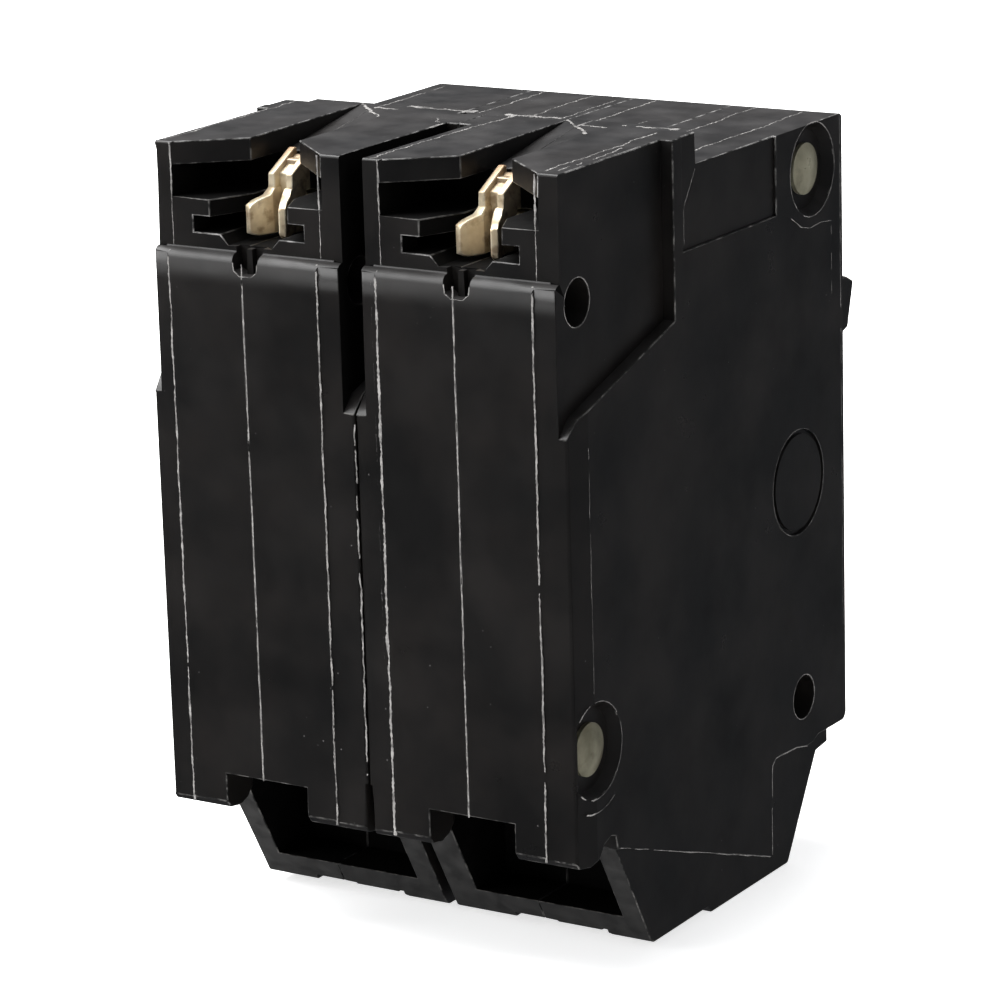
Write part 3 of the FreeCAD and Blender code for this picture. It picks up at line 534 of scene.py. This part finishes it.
def build_back_flash():
    """Upright pale lines on the back: both steps and the parting line of each pole, and their joint."""
    low_widths = (0.24, 0.34)
    tail_bottom, pocket_top, middle = 14.0, 17.4, 40.0
    round_bottom = SHOULDER - SHOULDER_ROUND
    round_middle = (0.27, 73.63)
    for pole in range(2):
        start = pole * POLE
        lines = [("low", LINE_LOW, tail_bottom, low_widths[pole], 0.04),
                 ("parting", LINE_SEAM, pocket_top, 0.15, 0.10),
                 ("high", LINE_HIGH, tail_bottom, 0.22, 0.05)]
        for index, (label, across, bottom, width, gaps) in enumerate(lines):
            u = start + across
            route = [(u, 0.0, bottom), (u, 0.0, middle), (u, 0.0, round_bottom)]
            flash(f"flash_back_{label}_{pole}", route, BACK, width, 11 + 5 * pole + index, gaps)
        for index, across in enumerate((LINE_LOW, LINE_HIGH)):
            u = start + across
            name = f"{index}_{pole}"
            over = [(u, 0.0, round_bottom), (u, *round_middle)]
            flash("flash_shoulder_" + name, over, (BACK + UP * 0.4).normalized(), 0.2, 71 + 5 * pole + index)
            over = [(u, *round_middle), (u, SHOULDER_ROUND, SHOULDER)]
            flash("flash_ledge_" + name, over, (BACK * 0.4 + UP).normalized(), 0.2, 81 + 5 * pole + index)
            route = [(u, SHOULDER_END, SHOULDER + 0.1), (u, SHOULDER_END, TOP - 0.1)]
            flash("flash_mouth_" + name, route, BACK, 0.18, 41 + 5 * pole + index)
    joint, faint = (25.38, 0.02), (27.9, 0.16)
    flash("flash_joint", [(*joint, 20.0), (*joint, 57.5)], BACK, 0.14, 91, gaps=0.30, wander=0.09)
    flash("flash_faint", [(*faint, 30.0), (*faint, 72.6)], BACK, 0.08, 92, gaps=0.34)
    notch = [(11.2, 73.0), (11.3, 72.1), (12.0, 71.6), (13.4, 71.6), (14.1, 72.1), (14.2, 73.0)]
    for pole in range(2):
        route = [(pole * POLE + across, 0.0, z) for across, z in notch]
        flash(f"flash_notch_{pole}", route, BACK, 0.12, 95 + pole)


def build_top_flash():
    """Ragged lines along the line end, on the front part and on the hood."""
    front = [(1.6, 30, 58), (14.0, 30, 58), (20.3, 30, 58), (24.3, 30, 56), (28.4, 30, 58), (34.0, 31, 46),
             (40.7, 30, 58), (46.8, 30, 58)]
    bow = 0.2
    for index, (u, start, end) in enumerate(front):
        route = [(u, start, FRONT_TOP), (u + bow, (start + end) / 2, FRONT_TOP), (u, end, FRONT_TOP)]
        flash(f"flash_front_{index}", route, UP, 0.36, 111 + index, gaps=0.14, wander=0.20)
    hood = [
        [(2.0, 2.0), (1.9, 12.0), (2.1, 26.0)],
        [(12.0, 26.2), (15.0, 26.0)],
        [(9.5, 27.8), (15.5, 21.6)],
        [(15.0, 28.1), (23.5, 27.9)],
        [(21.8, 23.4), (22.6, 21.6), (23.7, 21.2), (23.8, 18.2)],
        [(27.6, 1.3), (27.7, 12.0), (27.9, 21.0), (28.6, 25.0), (28.4, 28.1)],
        [(27.2, 28.0), (34.0, 27.9)],
        [(34.8, 27.8), (41.0, 21.5)],
        [(37.5, 25.6), (41.0, 25.4)],
        [(41.9, 27.0), (48.4, 27.2)],
        [(47.2, 2.4), (47.3, 12.0), (47.1, 24.6)],
        [(48.4, 3.0), (48.6, 9.0), (48.2, 16.0)],
    ]
    for index, line in enumerate(hood):
        (first_u, first_v), (last_u, last_v) = line[0], line[-1]
        runs_across = abs(last_u - first_u) > abs(last_v - first_v)
        route = [(u, v, TOP) for u, v in line]
        width = 0.9 if runs_across else 0.40
        flash(f"flash_hood_{index}", route, UP, width, 131 + index, gaps=0.06, wander=0.24)


def circle(wall, centre, radius, start=0, end=360):
    """Places round a circle on a side wall, in steps of 10 degrees."""
    v, z = centre
    turns = [math.radians(angle) for angle in range(start, end + 1, 10)]
    return [(wall, v + radius * math.cos(turn), z + radius * math.sin(turn)) for turn in turns]


def build_side_flash():
    """Fine moulded lines on the right side."""
    lines = [
        (WALL, [(47.0, 72.0), (49.2, 70.7), (51.2, 70.2), (53.8, 70.4), (56.2, 70.1)], 0.12, 0.15),
        (WALL, [(56.2, 69.5), (56.2, 61.8)], 0.08, 0.3),
        (WALL, [(58.3, 83.0), (58.3, 60.0)], 0.14, 0.1),
        (WALL, [(58.3, 58.0), (58.3, 24.0)], 0.08, 0.3),
        (WALL, [(3.5, 57.0), (3.5, 31.5)], 0.07, 0.3),
        (LABEL_FLOOR, [(26.6, 81.0), (24.2, 77.6)], 0.16, 0.1),
        (LABEL_FLOOR, [(24.1, 77.2), (24.1, 73.6)], 0.09, 0.3),
    ]
    for index, (wall, line, width, gaps) in enumerate(lines):
        flash(f"flash_side_{index}", [(wall, v, z) for v, z in line], SIDE, width, 151 + index, gaps=gaps)
    border = [(7.9, 13.7), (41.0, 2.1), (41.3, 12.4), (42.1, 13.1), (47.0, 12.85), (49.5, 12.3)]
    flash("flash_border", [(WALL, v, z) for v, z in border], SIDE, 0.10, 170, gaps=0.22)
    mark_centre, mark_radius, arc_radius = (48.0, 42.8), 5.9, 6.6
    rings = [
        ("arc", circle(WALL, RIVETS[0], arc_radius, 250, 300), 0.12),
        ("seat_0", circle(WALL, RIVETS[0], SEAT, -130, 130), 0.13),
        ("seat_1", circle(WALL, RIVETS[1], SEAT), 0.13),
        ("hole_0", circle(NARROW_WALL, CROSS_HOLES[0], CROSS_HOLE), 0.05),
        ("hole_1", circle(WALL, CROSS_HOLES[1], CROSS_HOLE), 0.07),
        ("mark", circle(WALL, mark_centre, mark_radius), 0.07),
    ]
    for index, (name, route, width) in enumerate(rings):
        flash("flash_ring_" + name, route, SIDE, width, 171 + index, gaps=0.15, wander=0.02)


# ---- stage ------------------------------------------------------------------
def build_camera():
    camera = bpy.data.objects.new("camera", bpy.data.cameras.new("camera"))
    camera.data.lens = 155.75
    camera.data.sensor_width = 36.0
    camera.data.clip_start = 0.01
    camera.data.clip_end = 20.0
    camera.location = (-0.23641, 0.38657, 0.16389)
    camera.rotation_euler = [math.radians(angle) for angle in (74.887, 1.594, -148.613)]
    bpy.context.scene.collection.objects.link(camera)
    bpy.context.scene.camera = camera


def build_floor():
    """Plain sweep: a floor that curves up far behind the breaker, just below it."""
    mesh = bmesh.new()
    half, reach, rise, bend, gap = 4.0, 2.5, 3.0, 0.8, 0.00005
    profile = [(-reach, 0.0), (reach - bend, 0.0)]
    steps = 10
    for step in range(1, steps + 1):
        turn = math.pi / 2 * step / steps
        profile.append((reach - bend + bend * math.sin(turn), bend - bend * math.cos(turn)))
    profile.append((reach, rise))
    away = Vector((0.528, -0.849, 0.0))
    across = Vector((0.849, 0.528, 0.0))
    rows = [[mesh.verts.new(away * distance + across * side + UP * (height - gap))
             for side in (-half, half)] for distance, height in profile]
    for (a, b), (c, d) in zip(rows, rows[1:]):
        mesh.faces.new((a, b, d, c)).smooth = True
    floor = bpy.data.objects.new("floor", bpy.data.meshes.new("floor"))
    mesh.to_mesh(floor.data)
    mesh.free()
    bpy.context.scene.collection.objects.link(floor)
    m = Nodes("floor_pale", specular=0.1)
    m.shader.inputs["Emission Color"].default_value = (1.0, 1.0, 1.0, 1.0)
    m.shader.inputs["Emission Strength"].default_value = 0.7
    floor.data.materials.append(m.finish(m.mix(m.grain(3.0), (0.86, 0.86, 0.86), (0.88, 0.88, 0.88)),
                                         m.ramp(m.grain(20.0), 0.0, 1.0, 0.7, 0.8)))
    floor.visible_glossy = False


def add_light(name, place, size, power, target=(0.0, 0.0, 0.045)):
    light = bpy.data.lights.new(name, "AREA")
    light.shape = "RECTANGLE"
    light.size, light.size_y = size
    light.energy = power
    lamp = bpy.data.objects.new(name, light)
    lamp.location = place
    lamp.rotation_euler = (Vector(target) - Vector(place)).to_track_quat("-Z", "Y").to_euler()
    bpy.context.scene.collection.objects.link(lamp)


def build_lights():
    """A dim cool surround and three soft lamps."""
    world = bpy.data.worlds.new("studio")
    world.use_nodes = True
    background = world.node_tree.nodes["Background"]
    background.inputs["Color"].default_value = (0.9, 0.93, 1.0, 1.0)
    background.inputs["Strength"].default_value = 0.15
    bpy.context.scene.world = world
    bpy.context.scene.view_settings.view_transform = "Standard"
    add_light("overhead", (0.55, 0.05, 1.05), (1.1, 1.3), 43.0)
    add_light("behind_left", (1.0, 1.0, 0.6), (0.7, 0.7), 8.0)
    add_light("side", (-1.2, 0.3, 0.6), (0.6, 0.8), 2.0)


build_camera()
build_floor()
build_lights()
paint_cad_nodes()
build_soft_pieces()
build_button_spring()
build_back_flash()
build_top_flash()
build_side_flash()
